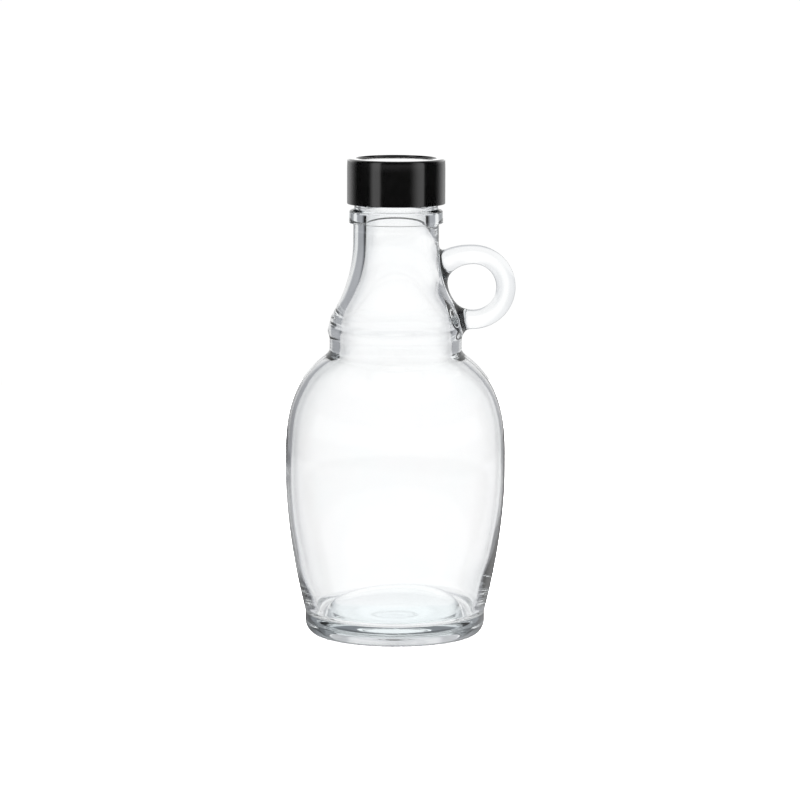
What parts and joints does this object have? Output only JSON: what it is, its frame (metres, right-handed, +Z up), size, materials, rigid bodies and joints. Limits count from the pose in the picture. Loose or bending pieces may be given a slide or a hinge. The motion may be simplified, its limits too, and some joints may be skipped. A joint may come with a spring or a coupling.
{
  "type": "oil bottle",
  "caption": "Small empty clear glass oil bottle with an egg-shaped body, a glass finger ring at the neck and a black screw cap.",
  "frame": {"origin": "middle of the whole object's box on the plane that the bottle stands on; the bottle's own axis is 1.4 mm to -X of it", "axes": "+Z up along the bottle's axis, +X towards the finger ring, Y across it"},
  "size_m": [0.0728, 0.07, 0.1514],
  "materials": {
    "clear_glass": "smooth clear glass, faintly cool in the thick edges",
    "black_plastic": "smooth moulded black plastic with a soft gloss"
  },
  "bodies": {
    "root": {"bottle": "clear_glass", "cap": "black_plastic"}
  },
  "joints": []
}
